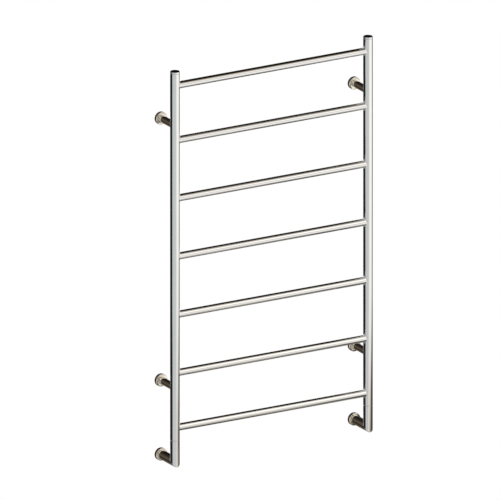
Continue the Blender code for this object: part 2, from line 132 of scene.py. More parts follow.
class Graph:
    """Builds a shader tree from short calls. Values are numbers, vectors or sockets."""

    def __init__(self, tree):
        self.tree = tree
        tree.nodes.clear()

    def add(self, kind, inputs=None, **settings):
        made = self.tree.nodes.new(kind)
        for name, value in settings.items():
            setattr(made, name, value)
        for key, value in (inputs or {}).items():
            socket = made.inputs[key]
            if isinstance(value, bpy.types.NodeSocket):
                self.tree.links.new(value, socket)
            else:
                socket.default_value = value
        return made

    def math(self, operation, *values):
        return self.add("ShaderNodeMath", dict(enumerate(values)), operation=operation).outputs[0]

    def fold(self, operation, first, *others):
        """One operation over any number of values, from left to right."""
        for other in others:
            first = self.math(operation, first, other)
        return first

    def total(self, *terms):
        return self.fold("ADD", *terms)

    def product(self, *factors):
        return self.fold("MULTIPLY", *factors)

    def largest(self, *values):
        return self.fold("MAXIMUM", *values)

    def distance(self, x, y, x_weight=1.0):
        """The length of (x, y), with a weight on the square of x."""
        x_square = self.product(self.math("POWER", x, 2.0), x_weight)
        return self.math("SQRT", self.total(x_square, self.math("POWER", y, 2.0)))

    def share(self, value):
        """A value from -1 to 1 as a share from 0 to 1."""
        return self.math("MULTIPLY_ADD", value, 0.5, 0.5)

    def step(self, value, start, end, low=0.0, high=1.0):
        """A soft step from `low` to `high` as the value goes from `start` to `end`."""
        inputs = {"Value": value, "From Min": start, "From Max": end, "To Min": low, "To Max": high}
        return self.add("ShaderNodeMapRange", inputs, interpolation_type="SMOOTHSTEP").outputs[0]

    def fall(self, value, start, end):
        """A soft step from 1 to 0."""
        return self.step(value, start, end, 1.0, 0.0)

    def between(self, value, start, full, fading, end):
        """A soft-edged stretch: 0 up to `start`, 1 from `full` to `fading`, and 0 again from `end`."""
        return self.product(self.step(value, start, full), self.fall(value, fading, end))

    def mix(self, factor, first, second, blend="MIX"):
        inputs = {0: factor, 6: first, 7: second}
        return self.add("ShaderNodeMix", inputs, data_type="RGBA", blend_type=blend).outputs[2]

    def ramp(self, value, stops):
        """A colour or grey level for each value, on straight lines between (value, shade) stops."""
        made = self.add("ShaderNodeValToRGB", {0: value})
        elements = made.color_ramp.elements
        while len(elements) < len(stops):
            elements.new(0.5)
        for element, (place, shade) in zip(elements, stops):
            element.position = place
            element.color = colour(*shade) if isinstance(shade, tuple) else colour(shade, shade, shade)
        return made.outputs[0]

    def noise(self, vector, scale, detail, roughness, seed=None):
        inputs = {"Vector": vector, "Scale": scale, "Detail": detail, "Roughness": roughness}
        if seed is not None:
            inputs["W"] = seed
        dimensions = "3D" if seed is None else "4D"
        return self.add("ShaderNodeTexNoise", inputs, noise_dimensions=dimensions).outputs[0]

    def stretched(self, vector, scale):
        return self.add("ShaderNodeVectorMath", {0: vector, 1: scale}, operation="MULTIPLY").outputs[0]

    def split(self, vector):
        return self.add("ShaderNodeSeparateXYZ", {0: vector}).outputs

    def join(self, x=0.0, y=0.0, z=0.0):
        return self.add("ShaderNodeCombineXYZ", {0: x, 1: y, 2: z}).outputs[0]

    def dimmed(self, shade, level):
        """A colour times a level from 0 to 1."""
        return self.mix(1.0, shade, self.join(level, level, level), "MULTIPLY")

    def warmed(self, shade, level):
        """A colour times a level, with green and blue falling a little faster than red."""
        warm = self.join(level, self.math("POWER", level, 1.08), self.math("POWER", level, 1.20))
        return self.mix(1.0, shade, warm, "MULTIPLY")

    def bump(self, height, distance, strength):
        inputs = {"Height": height, "Distance": distance, "Strength": strength}
        return self.add("ShaderNodeBump", inputs).outputs[0]

    def surface(self, **inputs):
        sockets = {name.replace("_", " ").title(): value for name, value in inputs.items()}
        shader = self.add("ShaderNodeBsdfPrincipled", sockets)
        self.add("ShaderNodeOutputMaterial", {0: shader.outputs[0]})


def colour(red, green, blue):
    return (red, green, blue, 1)


WHITE = colour(1, 1, 1)
CARD_BROWN = colour(0.085, 0.078, 0.068)


def material(name):
    made = bpy.data.materials.new(name)
    made.use_nodes = True
    return made, Graph(made.node_tree)


def object_place(graph):
    """Object coordinates, and one random number per object to set its pattern apart."""
    place = graph.add("ShaderNodeTexCoord").outputs["Object"]
    seed = graph.product(graph.add("ShaderNodeObjectInfo").outputs["Random"], 40.0)
    return place, seed


def polished_steel():
    """Mirror polish: slow waves, faint clouds in the gloss, and the ghost of a grain round the tube."""
    made, graph = material("polished_steel")
    place, seed = object_place(graph)
    clouds = graph.noise(place, 24.0, 3.0, 0.55, seed)
    grain = graph.noise(graph.stretched(place, (40.0, 40.0, 900.0)), 1.0, 2.0, 0.6, seed)
    waves = graph.noise(graph.stretched(place, (24.0, 24.0, 9.0)), 1.0, 1.0, 0.4, seed)
    tint = graph.ramp(clouds, [(0.30, (0.785, 0.781, 0.772)), (0.70, (0.812, 0.808, 0.800))])
    shade = graph.mix(graph.step(grain, 0.35, 0.75, 0.0, 0.12), tint, colour(0.73, 0.72, 0.71))
    gloss = graph.step(clouds, 0.30, 0.70, 0.030, 0.052)
    wavy = graph.bump(waves, 0.00005, 0.2)
    graph.surface(base_color=shade, metallic=1.0, roughness=gloss, normal=wavy)
    return made


def spun_steel():
    """The covers' polish: a little softer and warmer than the tubes', with rings from spinning, and a painted
    dark reflection round the rim.
    """
    made, graph = material("spun_steel")
    place, seed = object_place(graph)
    x, y, _ = graph.split(place)
    radius = graph.distance(x, y)
    rings = graph.noise(graph.join(graph.product(radius, 2600.0), 0.0, seed), 1.0, 2.0, 0.6)
    clouds = graph.noise(place, 90.0, 3.0, 0.55, seed)
    tint = graph.ramp(clouds, [(0.30, (0.800, 0.735, 0.625)), (0.70, (0.835, 0.775, 0.670))])
    shade = graph.mix(graph.step(rings, 0.35, 0.75, 0.0, 0.15), tint, colour(0.74, 0.68, 0.585))
    # Painted dark reflection: the cover's outermost band and its rim are mixed up to 60% towards black
    edge = graph.step(radius, COVER_RADIUS - 0.0007, COVER_RADIUS - 0.0002, 0.0, 0.6)
    shade = graph.mix(edge, shade, colour(0.04, 0.04, 0.04))
    gloss = graph.step(graph.total(clouds, graph.product(rings, 0.4)), 0.45, 0.95, 0.07, 0.11)
    relief = graph.bump(rings, 0.000002, 0.5)
    graph.surface(base_color=shade, metallic=1.0, roughness=gloss, normal=relief)
    return made


def turned_steel():
    """Lathe-turned steel: fine tool rings that follow the radius and the length."""
    made, graph = material("turned_steel")
    place, seed = object_place(graph)
    x, y, z = graph.split(place)
    travel = graph.total(graph.distance(x, y), z)
    rings = graph.noise(graph.join(graph.product(travel, 5200.0)), 1.0, 3.0, 0.7)
    stains = graph.noise(place, 180.0, 3.0, 0.6, seed)
    tint = graph.ramp(rings, [(0.25, (0.44, 0.44, 0.435)), (0.75, (0.63, 0.625, 0.61))])
    shade = graph.mix(graph.step(stains, 0.4, 0.8, 0.0, 0.35), tint, colour(0.40, 0.39, 0.37))
    gloss = graph.step(stains, 0.3, 0.7, 0.24, 0.38)
    relief = graph.bump(rings, 0.00002, 0.6)
    graph.surface(base_color=shade, metallic=1.0, roughness=gloss, normal=relief)
    return made


def speckled(name, low, high, roughness, scale, metallic):
    """A finish whose colour and gloss vary with a fine and a broad grain, and its surface with the fine."""
    made, graph = material(name)
    place, seed = object_place(graph)
    grain = graph.noise(place, scale, 4.0, 0.6, seed)
    broad = graph.noise(place, scale / 12, 2.0, 0.5, seed)
    both = graph.total(graph.product(grain, 0.6), graph.product(broad, 0.4))
    tint = graph.ramp(both, [(0.35, low), (0.65, high)])
    gloss = graph.step(both, 0.35, 0.65, roughness - 0.07, roughness + 0.07)
    relief = graph.bump(grain, 0.00003, 0.5)
    graph.surface(base_color=tint, metallic=metallic, roughness=gloss, normal=relief)
    return made


def striped_insulation():
    """Green insulation with a yellow stripe along it."""
    made, graph = material("green_insulation")
    place, seed = object_place(graph)
    x, _, _ = graph.split(place)
    grain = graph.noise(place, 900.0, 3.0, 0.6, seed)
    lead_middle = POST_AXES["right"].x
    side = graph.total(x, graph.product(grain, 0.0001))
    stripe = graph.step(side, lead_middle, lead_middle + 0.0002)
    tint = graph.mix(stripe, colour(0.05, 0.36, 0.06), colour(0.80, 0.66, 0.05))
    gloss = graph.step(grain, 0.3, 0.7, 0.36, 0.48)
    relief = graph.bump(grain, 0.00002, 0.4)
    graph.surface(base_color=tint, metallic=0.0, roughness=gloss, normal=relief)
    return made


# Darkest and lightest colour, roughness, grain scale and metallic of the plain finishes
SPECKLED = {
    "screw_steel": ((0.20, 0.20, 0.21), (0.34, 0.34, 0.35), 0.34, 900.0, 1.0),
    "black_rubber": ((0.016, 0.016, 0.017), (0.040, 0.039, 0.038), 0.66, 1400.0, 0.0),
    "heating_silicone": ((0.36, 0.04, 0.03), (0.50, 0.08, 0.05), 0.44, 800.0, 0.0),
    "brown_insulation": ((0.12, 0.05, 0.02), (0.19, 0.08, 0.035), 0.42, 900.0, 0.0),
    "blue_insulation": ((0.02, 0.09, 0.38), (0.04, 0.14, 0.50), 0.42, 900.0, 0.0),
    "white_nylon": ((0.72, 0.71, 0.67), (0.83, 0.82, 0.78), 0.40, 700.0, 0.0),
    "black_sleeve": ((0.022, 0.022, 0.024), (0.055, 0.054, 0.052), 0.50, 1000.0, 0.0),
    "cutout_case": ((0.50, 0.48, 0.43), (0.66, 0.64, 0.59), 0.33, 800.0, 1.0),
    "tinned_brass": ((0.62, 0.50, 0.26), (0.78, 0.67, 0.42), 0.30, 800.0, 1.0),
}
FINISHES = {
    "polished_steel": polished_steel(),
    "spun_steel": spun_steel(),
    "turned_steel": turned_steel(),
    "green_insulation": striped_insulation(),
    **{name: speckled(name, *values) for name, values in SPECKLED.items()},
}


# Meshes made of rings with exact normals


def turns(count=ROUND):
    """Equal steps of one full turn, in radians."""
    return [2 * math.pi * number / count for number in range(count)]


def ring(centre, across, along, radius, length, out, ahead, sides=ROUND):
    """A circle of points round an axis. `across` holds the two unit vectors of its plane and `along` is the
    axis. The normal leans `out` from the axis and `ahead` along it."""
    points, normals = [], []
    first, second = across
    for turn in turns(sides):
        away = first * math.cos(turn) + second * math.sin(turn)
        points.append(centre + away * radius + along * length)
        normals.append(away * out + along * ahead)
    return points, normals


def skin(name, rings):
    """A closed mesh across rings of points, each joined to the next and the last to the first."""
    vertices, first_index = [], []
    for points, _ in rings:
        repeated = vertices and (points[0] - vertices[first_index[-1]]).length < SAME_PLACE
        if repeated and len(points) == last_count:
            first_index.append(first_index[-1])
        else:
            first_index.append(len(vertices))
            vertices.extend(points)
        last_count = len(points)
    if (rings[-1][0][0] - rings[0][0][0]).length < SAME_PLACE:
        del vertices[first_index[-1]:]
        first_index[-1] = 0
    faces, normals = [], []
    for here in range(len(rings)):
        there = (here + 1) % len(rings)
        if first_index[here] == first_index[there]:
            continue
        count_here, count_there = len(rings[here][0]), len(rings[there][0])
        count = max(count_here, count_there)
        if count == 1:
            continue
        for side in range(count):
            after = (side + 1) % count
            corners = [(here, side), (here, after), (there, after), (there, side)]
            if count_here == 1:
                corners = [(here, 0), (there, after), (there, side)]
            elif count_there == 1:
                corners = [(here, side), (here, after), (there, 0)]
            faces.append([first_index[level] + place for level, place in corners])
            normals.append([rings[level][1][place] for level, place in corners])
    data = bpy.data.meshes.new(name)
    data.from_pydata(vertices, [], faces)
    agree = sum(face.normal.dot(corner[0]) for face, corner in zip(data.polygons, normals))
    if agree < 0:
        faces = [face[::-1] for face in faces]
        normals = [corner[::-1] for corner in normals]
        data.clear_geometry()
        data.from_pydata(vertices, [], faces)
    data.shade_smooth()
    data.normals_split_custom_set([normal.normalized() for corner in normals for normal in corner])
    return data


def outline(corners, steps=6):
    """Points and normals of a closed outline of (radius, height, rounding) corners, the solid on its left."""
    made = []
    count = len(corners)
    for number, (radius, height, rounding) in enumerate(corners):
        here = Vector((radius, height))
        back = (here - Vector(corners[number - 1][:2])).normalized()
        ahead = (Vector(corners[(number + 1) % count][:2]) - here).normalized()
        first, last = Vector((back.y, -back.x)), Vector((ahead.y, -ahead.x))
        if rounding == 0:
            made += [(here, first), (here, last)]
            continue
        turn = back.angle_signed(ahead)
        convex = 1 if turn < 0 else -1
        start = here - back * (rounding * math.tan(abs(turn) / 2))
        centre = start - first * rounding * convex
        for step in range(steps + 1):
            angle = -turn * step / steps
            normal = Matrix.Rotation(angle, 2) @ first
            made.append((centre + normal * rounding * convex, normal))
    return made


def turned(name, corners, sides=ROUND, steps=6):
    """A solid turned round local Z from an outline of (radius, height, rounding) corners."""
    rings = []
    for point, normal in outline(corners, steps):
        if point.x < SAME_PLACE:
            rings.append(([Vector((0, 0, point.y))], [Vector((0, 0, normal.y))]))
        else:
            rings.append(ring(Vector(), (X, Y), Z, point.x, point.y, normal.x, normal.y, sides))
    return skin(name, rings)


def add_piece(name, data, body, slot, *nodes, matrix, finish=None):
    """A new visible piece on a body, with a material slot, standing for CAD nodes. Its finish is the slot's
    unless another is named."""
    piece = bpy.data.objects.new(name, data)
    piece.matrix_world = matrix
    bpy.context.scene.collection.objects.link(piece)
    data.materials.clear()
    data.materials.append(FINISHES[finish or slot])
    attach(piece, body)
    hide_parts(*nodes)


def drilled(data, *cutters):
    """The mesh with the cutters' volumes taken away, keeping the exact normals of all the surfaces."""
    scene = bpy.context.scene.collection
    target = bpy.data.objects.new("drill_target", data)
    tools = [bpy.data.objects.new("drill", cutter) for cutter in cutters]
    for item in [target, *tools]:
        scene.objects.link(item)
    for tool in tools:
        step = target.modifiers.new("cut", "BOOLEAN")
        step.operation, step.solver, step.object = "DIFFERENCE", "EXACT", tool
    bpy.context.view_layer.update()
    evaluated = target.evaluated_get(bpy.context.evaluated_depsgraph_get())
    made = bpy.data.meshes.new_from_object(evaluated)
    made.name = data.name
    sources = [(data, 1, surface_tree(data))]
    sources += [(cutter, -1, surface_tree(cutter)) for cutter in cutters]
    normals = []
    for face in made.polygons:
        normals.extend(face_normals(made, face, sources))
    made.shade_smooth()
    made.normals_split_custom_set(normals)
    for item in [target, *tools]:
        bpy.data.objects.remove(item)
    return made


def surface_tree(data):
    points = [vertex.co for vertex in data.vertices]
    return BVHTree.FromPolygons(points, [list(face.vertices) for face in data.polygons])


def face_normals(made, face, sources):
    """Corner normals for one face, taken from the source surface that it lies on."""
    best = None
    for source, sign, tree in sources:
        place, normal, index, distance = tree.find_nearest(face.center)
        if place is not None and distance < ON_SURFACE and abs(normal.dot(face.normal)) > SAME_WAY:
            if best is None or distance < best[0]:
                best = (distance, source, sign, index)
    if best is None:
        return [face.normal.copy() for _ in face.vertices]
    _, source, sign, index = best
    polygon = source.polygons[index]
    points = [source.vertices[i].co for i in polygon.vertices]
    corner_normals = [source.corner_normals[i].vector for i in polygon.loop_indices]
    result = []
    for vertex in face.vertices:
        weights = poly_3d_calc(points, made.vertices[vertex].co)
        blended = sum((normal * weight for normal, weight in zip(corner_normals, weights)), Vector())
        usable = blended.length > 1e-6
        result.append((blended * sign).normalized() if usable else face.normal.copy())
    return result


def plug(name, radius, low, high, sides):
    """A plain solid for drilling, round or many-sided, from `low` to `high` along local Z."""
    return turned(name, [(0, low, 0), (radius, low, 0), (radius, high, 0), (0, high, 0)], sides)


def rod(radius, low, high, place, direction, sides=32):
    """A plain cylinder for drilling, from `low` to `high` along a direction from a place."""
    data = plug("rod", radius, low, high, sides)
    data.transform(facing(direction, place))
    return data


def facing(direction, place):
    """Local Z points along a direction, from a place."""
    turn = Z.rotation_difference(Vector(direction)).to_matrix().to_4x4()
    return Matrix.Translation(place) @ turn


def off_wall(x, z):
    """Local Z points from the wall out into the room."""
    return Matrix.Translation((x, 0, z)) @ Matrix.Rotation(math.radians(90), 4, "X")


# Tubes welded to the posts


def weld(post_axis, direction, radius, height, fillet, steps=10):
    """Rings from a branch tube's surface round a rolling-ball fillet onto the post, in that order."""
    across = Vector((-direction.y, direction.x, 0))
    origin = post_axis + Z * height
    rings = []
    for step in range(steps + 1):
        share = step / steps
        points, normals = [], []
        for turn in turns():
            tube_normal = across * math.cos(turn) + Z * math.sin(turn)
            sideways = (radius + fillet) * math.cos(turn)
            reach = math.sqrt((POST_RADIUS + fillet) ** 2 - sideways ** 2)
            ball = origin + direction * reach + tube_normal * (radius + fillet)
            post_normal = (direction * reach + across * sideways) / (POST_RADIUS + fillet)
            normal = tube_normal.slerp(post_normal, share)
            points.append(ball - normal * fillet)
            normals.append(normal)
        rings.append((points, normals))
    return rings


def coped(post_axis, direction, radius, height, depth, sign):
    """A ring of a branch's bore where it meets the post's cylinder, `depth` below its surface."""
    across = Vector((-direction.y, direction.x, 0))
    origin = post_axis + Z * height
    points, normals = [], []
    for turn in turns():
        away = across * math.cos(turn) + Z * math.sin(turn)
        reach = math.sqrt((POST_RADIUS - depth) ** 2 - (radius * math.cos(turn)) ** 2)
        points.append(origin + direction * reach + away * radius)
        normals.append(away * sign)
    return points, normals


def mirrored(rings):
    """The same rings with their points in the opposite turning order, so that facing branches match."""
    return [([points[0], *points[:0:-1]], [normals[0], *normals[:0:-1]]) for points, normals in rings]


def turned_about(rings, count):
    """The same rings, each started `count` points further round."""
    return [
        (points[count:] + points[:count], normals[count:] + normals[:count])
        for points, normals in rings
    ]


def add_rungs():
    bore = RUNG_RADIUS - RUNG_WALL
    half_turn = ROUND // 2
    for name, height in RUNG_HEIGHTS.items():
        left = weld(POST_AXES["left"], X, RUNG_RADIUS, height, WELD_FILLET)
        left_bore = coped(POST_AXES["left"], X, bore, height, WELD_BITE, -1)
        right = weld(POST_AXES["right"], -X, RUNG_RADIUS, height, WELD_FILLET)
        right.append(coped(POST_AXES["right"], -X, bore, height, WELD_BITE, -1))
        rings = [*reversed(left), *turned_about(mirrored(right), half_turn), left_bore]
        data = skin(f"{name}_tube", rings)
        to_local = facing(X, (0, POST_AXES["left"].y, height))
        data.transform(to_local.inverted())
        add_piece(f"{name}_tube", data, "rack", "polished_steel", name, matrix=to_local)


def add_arms():
    bore = RUNG_RADIUS - TUBE_WALL
    edge = SMALL_EDGE
    across = (-X, Z)
    for side in SIDES:
        axis = POST_AXES[side]
        for level, height in ARM_HEIGHTS.items():
            name = f"{side}_{level}_arm"
            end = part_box(name)[1].y
            foot = X * axis.x + Z * height
            rings = [
                *reversed(weld(axis, Y, RUNG_RADIUS, height, WELD_FILLET)),
                ring(foot, across, Y, RUNG_RADIUS, end - edge, 1, 0),
                ring(foot, across, Y, RUNG_RADIUS - edge * 0.3, end - edge * 0.3, 0.7, 0.7),
                ring(foot, across, Y, RUNG_RADIUS - edge, end, 0, 1),
                ring(foot, across, Y, bore, end, 0, 1),
                ring(foot, across, Y, bore, end, -1, 0),
                coped(axis, Y, bore, height, WELD_BITE, -1),
            ]
            data = skin(f"{name}_tube", rings)
            grub_place = middle(f"{side}_{level}_grub")
            below = (grub_place.x, grub_place.y, height - RUNG_RADIUS)
            data = drilled(data, rod(GRUB_HOLE, -DRILL_THROUGH, DRILL_THROUGH, below, Z))
            to_local = off_wall(axis.x, height)
            data.transform(to_local.inverted())
            add_piece(f"{name}_tube", data, "rack", "polished_steel", name, matrix=to_local)


def add_posts():
    low, high = POST_LOW.z, POST_HIGH.z
    bore = RUNG_RADIUS - RUNG_WALL
    for side, inward in zip(SIDES, (X, -X)):
        name = f"{side}_post"
        data = turned(name, [
            (POST_BORE, low, FINE_EDGE), (POST_RADIUS, low, SEAM_EDGE), (POST_RADIUS, high, SEAM_EDGE),
            (POST_BORE, high, FINE_EDGE),
        ])
        past_post = 0.03
        holes = [rod(bore, 0, past_post, (0, 0, height), inward, 48) for height in RUNG_HEIGHTS.values()]
        data = drilled(data, *holes)
        place = Matrix.Translation(POST_AXES[side])
        add_piece(f"{name}_tube", data, "rack", "polished_steel", name, matrix=place)


def add_caps():
    base, top, top_edge = POST_HIGH.z + GAP, HIGHEST.z, 0.0004
    spigot, spigot_bore = POST_BORE - GAP, POST_BORE - 0.0023
    for side in SIDES:
        name = f"{side}_top_cap"
        spigot_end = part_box(name)[0].z
        data = turned(name, [
            (0, base, 0), (spigot_bore, base, FINE_EDGE), (spigot_bore, spigot_end, FINE_EDGE),
            (spigot, spigot_end, SMALL_EDGE), (spigot, base, 0), (POST_RADIUS, base, SEAM_EDGE),
            (POST_RADIUS, top, top_edge), (0, top, 0),
        ], steps=8)
        place = Matrix.Translation(POST_AXES[side])
        add_piece(f"{side}_cap", data, "rack", "polished_steel", name, matrix=place)


def riser_ring(radius, height, out, up):
    return ring(Vector(), (X, -Y), Z, radius, height, out, up)


def leg_ring(radius, length, out, ahead):
    return ring(Vector(), (X, -Z), Y, radius, length, out, ahead)


def elbow_rings(radius, top, end, sign):
    """Rings down the riser, round the mitre's small edge radius, and along the leg to the wall."""
    mitre, steps = [], 8
    for step in range(steps + 1):
        turn = math.pi / 2 * step / steps
        sine, cosine = math.sin(turn), math.cos(turn)
        points, normals = [], []
        for around in turns():
            cos_a, sin_a = math.cos(around), math.sin(around)
            corner = Vector((radius * cos_a, -radius * sin_a, -radius * sin_a))
            centre = corner + (Y + Z) * MITRE_EDGE
            points.append(centre - (Y * cosine + Z * sine) * MITRE_EDGE)
            normal = Vector((cos_a * (sine + cosine), -cosine * sin_a, -sine * sin_a))
            normals.append(normal.normalized() * sign)
        mitre.append((points, normals))
    return [riser_ring(radius, top, sign, 0), *mitre, leg_ring(radius, end, sign, 0)]


def add_elbows():
    for side in SIDES:
        axis = POST_AXES[side]
        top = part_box(f"{side}_riser")[1].z
        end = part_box(f"{side}_leg")[1].y - axis.y
        outer = elbow_rings(POST_RADIUS, top - SEAM_EDGE, end, 1)
        inner = elbow_rings(POST_BORE, top, end, -1)
        rim = []
        for degrees in range(90, 0, -15):
            out, up = math.cos(math.radians(degrees)), math.sin(math.radians(degrees))
            radius = POST_RADIUS - SEAM_EDGE * (1 - out)
            height = top - SEAM_EDGE * (1 - up)
            rim.append(riser_ring(radius, height, out, up))
        data = skin(f"{side}_elbow", [
            *rim, *outer, leg_ring(POST_RADIUS, end, 0, 1), leg_ring(POST_BORE, end, 0, 1),
            *reversed(inner), riser_ring(POST_BORE, top, 0, 1),
        ])
        leg_grub = middle(f"{side}_leg_grub") - axis
        coupler_grub = middle(f"{side}_coupler_grub") - axis
        holes = [
            rod(GRUB_HOLE, -DRILL_THROUGH, DRILL_THROUGH, (0, leg_grub.y, -POST_RADIUS), Z),
            rod(GRUB_HOLE, -DRILL_THROUGH, DRILL_THROUGH, (0, POST_RADIUS, coupler_grub.z), Y),
        ]
        data = drilled(data, *holes)
        add_piece(
            f"{side}_elbow", data, "rack", "polished_steel", f"{side}_riser", f"{side}_leg",
            matrix=Matrix.Translation(axis),
        )


def cover(name, tube_radius, dome):
    """A hollow-backed cover: its front is slightly domed, and the ring's groove is inside its bore."""
    bore = tube_radius + GAP
    groove, groove_edge = bore + 0.0015, 0
    recess, recess_floor = FLANGE_RADIUS + 0.0004, FLANGE + 0.0006
    rim_edge, front_rounding, bore_edge = 0.0008, 0.002, 0.0004
    front, steps = [], 5
    for step in range(steps):
        share = step / steps
        radius = COVER_RADIUS - (COVER_RADIUS - bore) * share
        height = COVER_FACE - dome * (1 - share) ** 2
        front.append((radius, height, front_rounding if step else rim_edge))
    return turned(name, [
        (COVER_RADIUS, GAP, FINE_EDGE), *front, (bore, COVER_FACE, bore_edge),
        (bore, GROOVE_END, groove_edge), (groove, GROOVE_END, groove_edge),
        (groove, GROOVE_START, groove_edge), (bore, GROOVE_START, groove_edge),
        (bore, recess_floor, FINE_EDGE), (recess, recess_floor, SMALL_EDGE), (recess, GAP, FINE_EDGE),
    ])


def rubber_ring(name, tube_radius):
    """A ring of slightly oval section, on the tube and in the middle of the cover's groove."""
    half_width, half_height, sides = 0.0006, 0.0007, 16
    centre = Vector((tube_radius + GAP + half_width, (GROOVE_START + GROOVE_END) / 2))
    rings = []
    for turn in turns(sides):
        point = centre + Vector((half_width * math.cos(turn), half_height * math.sin(turn)))
        rings.append(ring(Vector(), (X, Y), Z, point.x, point.y, math.cos(turn), math.sin(turn), 64))
    return skin(name, rings)


def grub(name, length):
    """A grub screw with a hexagon socket and a coned tip; local Z goes into the tube."""
    radius, socket, depth, cone, edge = 0.0020, 0.0011, 0.0012, 0.0006, 0.00015
    data = turned(name, [
        (radius, 0, edge), (radius, length - cone, 0), (radius - cone, length, 0), (0, length, 0), (0, 0, 0),
    ], 48)
    hexagon = plug("socket", socket, DRILL_START, depth, 6)
    flat_normals = [face.normal.copy() for face in hexagon.polygons for _ in face.vertices]
    hexagon.normals_split_custom_set(flat_normals)
    return drilled(data, hexagon)


def boss_outside(spigot):
    """The outline of a boss's flange and spigot, from the wall to the spigot's end."""
    edge = 0.0006
    return [
        (FLANGE_RADIUS, 0, FINE_EDGE), (FLANGE_RADIUS, FLANGE, edge), (spigot, FLANGE, FINE_EDGE),
        (spigot, SPIGOT_END, edge),
    ]


def arm_boss(name):
    """A boss with a bore for the wall screw and a counterbore for its head."""
    bore, counterbore, counterbore_floor = 0.00275, 0.0052, 0.014
    return turned(name, [
        (bore, 0, SMALL_EDGE), *boss_outside(ARM_SPIGOT), (counterbore, SPIGOT_END, FINE_EDGE),
        (counterbore, counterbore_floor, 0), (bore, counterbore_floor, 0),
    ], 72)


def leg_boss(name):
    """A boss with a hollow spigot, which leaves room for the cable and the wall screw."""
    spigot_bore = 0.0087
    return turned(name, [
        (0, 0, 0), *boss_outside(POST_BORE - GAP), (spigot_bore, SPIGOT_END, FINE_EDGE),
        (spigot_bore, FLANGE, FINE_EDGE), (0, FLANGE, 0),
    ], 72)


def add_cover(name, tube_radius, dome, place):
    """A cover and its rubber ring, which slide together."""
    body = f"sliding_{name}_cover"
    data = cover(f"{name}_cover", tube_radius, dome)
    add_piece(
        f"{name}_rosette", data, body, "polished_steel", f"{name}_cover", matrix=place, finish="spun_steel",
    )
    data = rubber_ring(f"{name}_cover_ring", tube_radius)
    add_piece(f"{name}_rosette_ring", data, body, "black_rubber", f"{name}_cover_ring", matrix=place)


def add_grub(node, length, place):
    add_piece(f"{node}_screw", grub(node, length), "rack", "screw_steel", node, matrix=place)


def add_arm_fixings():
    for side in SIDES:
        for level, height in ARM_HEIGHTS.items():
            name = f"{side}_{level}"
            place = off_wall(POST_AXES[side].x, height)
            grub_place = middle(f"{name}_grub")
            dimple = rod(GRUB_HOLE, DRILL_START, 0.0022, (0, -ARM_SPIGOT, -grub_place.y), Y)
            boss = drilled(arm_boss(f"{name}_boss"), dimple)
            add_piece(f"{name}_wall_boss", boss, "rack", "turned_steel", f"{name}_boss", matrix=place)
            add_cover(name, RUNG_RADIUS, ARM_COVER_DOME, place)
            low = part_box(f"{name}_grub")[0].z
            add_grub(f"{name}_grub", ARM_GRUB_LENGTH, Matrix.Translation((grub_place.x, grub_place.y, low)))


def add_leg_fixings():
    for side in SIDES:
        name = f"{side}_leg"
        x = POST_AXES[side].x
        place = off_wall(x, 0)
        grub_place = middle(f"{name}_grub")
        past_flange = FLANGE - DRILL_START
        holes = [
            rod(GRUB_HOLE, DRILL_START, 0.0013, (0, GAP - POST_BORE, -grub_place.y), Y),
            rod(CABLE_HOLE, DRILL_START, past_flange, (0, middle("cable_grommet").z, 0), Z, 48),
            rod(WALL_SCREW_HOLE, DRILL_START, past_flange, (0, WALL_SCREW_HEIGHT, 0), Z),
        ]
        boss = drilled(leg_boss(f"{name}_boss"), *holes)
        add_piece(f"{name}_wall_boss", boss, "rack", "turned_steel", f"{name}_boss", matrix=place)
        add_cover(name, POST_RADIUS, LEG_COVER_DOME, place)
        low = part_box(f"{name}_grub")[0].z
        add_grub(f"{name}_grub", LEG_GRUB_LENGTH, Matrix.Translation((x, grub_place.y, low)))
        coupler_grub = middle(f"{side}_coupler_grub")
        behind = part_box(f"{side}_coupler_grub")[1].y
        add_grub(f"{side}_coupler_grub", LEG_GRUB_LENGTH, facing(-Y, (x, behind, coupler_grub.z)))


# Finishes for the CAD solids that stay


def dress_cad_nodes():
    """Each slot's material from the record gives way to the finish of the same name."""
    for name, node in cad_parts.items():
        if node.hide_render:
            continue
        for place, used in enumerate(node.material_slots):
            wanted = used.material.name.split(".")[0]
            node.material_slots[place].material = FINISHES.get(wanted, FINISHES["turned_steel"])


# Studio. Directions are (x, y, z) with x to the right, y from the room to the wall and z up. The tubes' exact
# mirror directions set where each light or dark patch starts and ends.


def front_light(graph, x, y, z, height):
    """Bright to the right, grey-blue to the left, fading towards the floor and right overhead."""
    right = graph.mix(graph.step(z, 0.0, 0.3), colour(1.0, 0.995, 0.98), colour(1.02, 0.955, 0.88))
    left = graph.mix(graph.step(z, -0.1, 0.2), colour(0.666, 0.70, 0.714), colour(0.42, 0.375, 0.32))
    sides = graph.mix(graph.step(x, -0.35, 0.20), left, right)
    level = graph.ramp(height, [
        (0.0, 0.35), (0.06, 0.41), (0.10, 0.58), (0.30, 0.85), (0.345, 0.78), (0.42, 0.62), (0.50, 0.56),
        (0.54, 0.58), (0.66, 1.02), (0.78, 1.15), (1.0, 1.15),
    ])
    overhead = graph.ramp(graph.share(y), [
        (0.075, 1.0), (0.19, 0.95), (0.235, 0.80), (0.325, 0.45), (0.45, 0.10), (0.55, 0.0),
    ])
    high = graph.step(z, 0.45, 0.75)
    top = graph.total(graph.math("SUBTRACT", 1.0, high), graph.product(high, overhead))
    return graph.warmed(graph.mix(1.0, sides, level, "MULTIPLY"), top)


